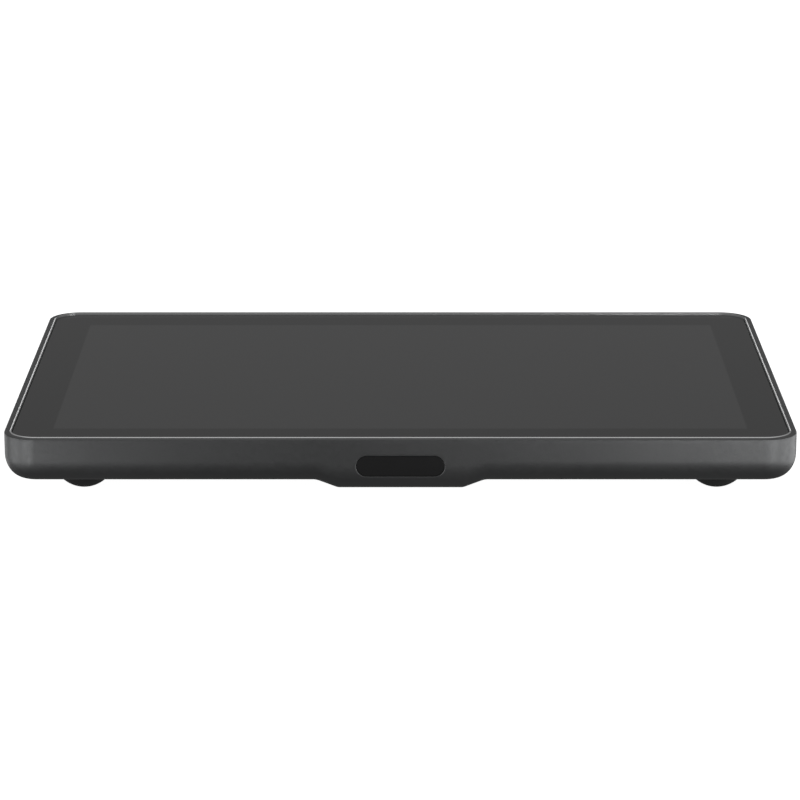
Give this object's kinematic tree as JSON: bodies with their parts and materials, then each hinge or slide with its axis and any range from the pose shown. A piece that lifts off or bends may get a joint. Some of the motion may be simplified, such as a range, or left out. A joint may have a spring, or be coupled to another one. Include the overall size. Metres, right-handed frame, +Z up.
{
  "type": "smart display",
  "caption": "Flat rectangular touchscreen smart display lying face up on domed rubber feet, with a pill-shaped sensor window in its front edge and a raised spine underneath.",
  "frame": {"origin": "on the table, under the middle of the body", "axes": "+X along the long side, -Y towards the edge with the sensor window, +Z up out of the screen"},
  "size_m": [0.196, 0.133, 0.0159],
  "materials": {
    "housing": "bead-blasted, graphite anodised",
    "trim": "diamond-cut, polished",
    "glass": "clear cover glass, black printed behind",
    "sensor_lens": "infrared-pass, gloss",
    "rubber": "matt silicone",
    "foam": "foam tape",
    "film": "conductive film",
    "panel": "liquid-crystal cell",
    "steel": "stamped, nickel plated",
    "moulding": "glass-filled nylon",
    "button": "fine satin",
    "circuit_board": "solder mask",
    "chip": "epoxy",
    "shield": "tinned",
    "thermal_pad": "silicone pad",
    "flex": "polyimide",
    "brass": "knurled insert",
    "copper": "copper foil"
  },
  "bodies": {
    "display": {"housing": "housing", "bezel_ring": "trim", "cover_glass": "glass", "glass_gasket": "foam", "touch_film": "film", "lcd_cell": "panel", "backlight_unit": "steel", "chassis_frame": "moulding", "main_board": "circuit_board", "processor_shield": "shield", "thermal_pad": "thermal_pad", "wifi_module": "shield", "memory_chip": "chip", "storage_chip": "chip", "power_inductor": "chip", "display_connector": "moulding", "touch_connector": "moulding", "display_flex": "flex", "touch_flex": "flex", "usb_c_socket": "steel", "sensor_window": "sensor_lens", "sensor_gasket": "foam", "presence_sensor": "chip", "light_sensor": "chip", "sensor_board": "circuit_board", "sensor_flex": "flex", "speaker_left": "moulding", "speaker_right": "moulding", "antenna_left": "copper", "antenna_right": "copper", "reset_switch": "chip", "foot_front_left": "rubber", "chassis_screw_front_left": "steel", "board_screw_front_left": "steel", "mount_insert_front_left": "brass", "foot_front_right": "rubber", "chassis_screw_front_right": "steel", "board_screw_front_right": "steel", "mount_insert_front_right": "brass", "foot_rear_left": "rubber", "chassis_screw_rear_left": "steel", "board_screw_rear_left": "steel", "mount_insert_rear_left": "brass", "foot_rear_right": "rubber", "chassis_screw_rear_right": "steel", "board_screw_rear_right": "steel", "mount_insert_rear_right": "brass"},
    "reset_button": {"reset_button": "button", "switch_plunger": "steel"}
  },
  "joints": [
    {"name": "reset_press", "type": "slide", "parent": "display", "child": "reset_button", "axis": [0, 0, 1], "range_m": [0, 0.0004], "stiffness_N_per_m": 2500}
  ]
}
